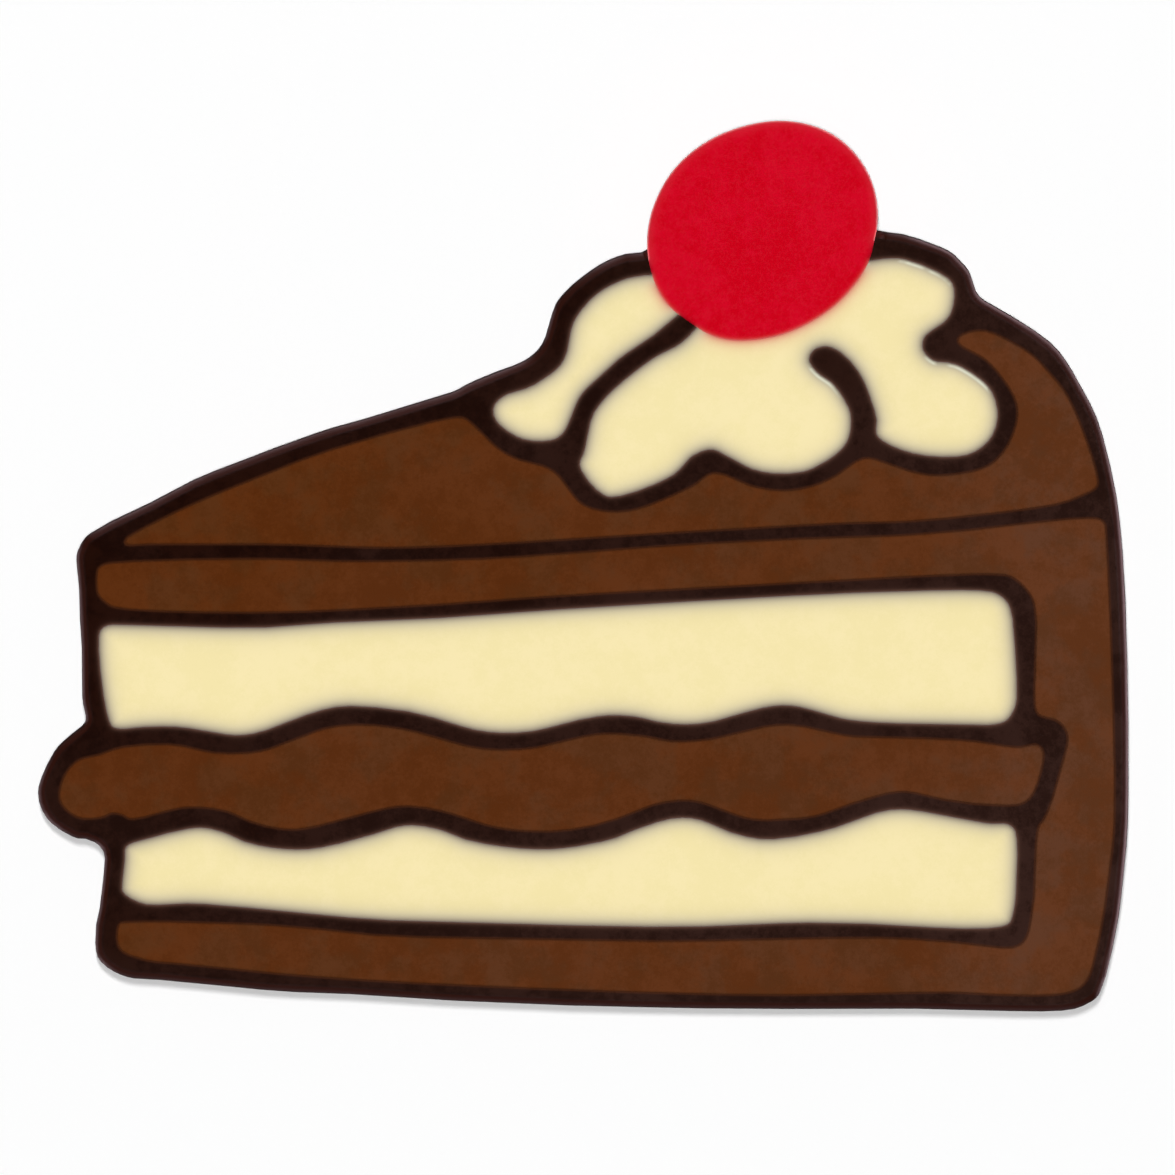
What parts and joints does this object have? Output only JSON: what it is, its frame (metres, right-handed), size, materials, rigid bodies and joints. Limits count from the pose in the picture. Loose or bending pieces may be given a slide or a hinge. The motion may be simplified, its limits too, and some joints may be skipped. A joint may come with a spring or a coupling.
{
  "type": "cake slice chocolate plaque",
  "caption": "Flat moulded chocolate plaque in the shape of a slice of layer cake topped with cream and a cherry; lies flat as a sweet or a cake topper.",
  "frame": {"origin": "on the flat back, at the centre of the bounding box", "axes": "+X towards the tall end of the slice, +Y towards the cherry, +Z out of the decorated face"},
  "size_m": [0.131, 0.107, 0.0065],
  "materials": {
    "dark_chocolate": "satin",
    "milk_chocolate": "satin",
    "white_chocolate": "satin",
    "red_chocolate": "satin"
  },
  "bodies": {
    "root": {"backing_slab": "dark_chocolate", "dark_outline": "dark_chocolate", "cherry_disc": "red_chocolate", "cream_left": "white_chocolate", "cream_right": "white_chocolate", "glaze_panel": "milk_chocolate", "frosting_panel": "milk_chocolate", "sponge_upper": "white_chocolate", "filling_middle": "milk_chocolate", "sponge_lower": "white_chocolate"}
  },
  "joints": []
}
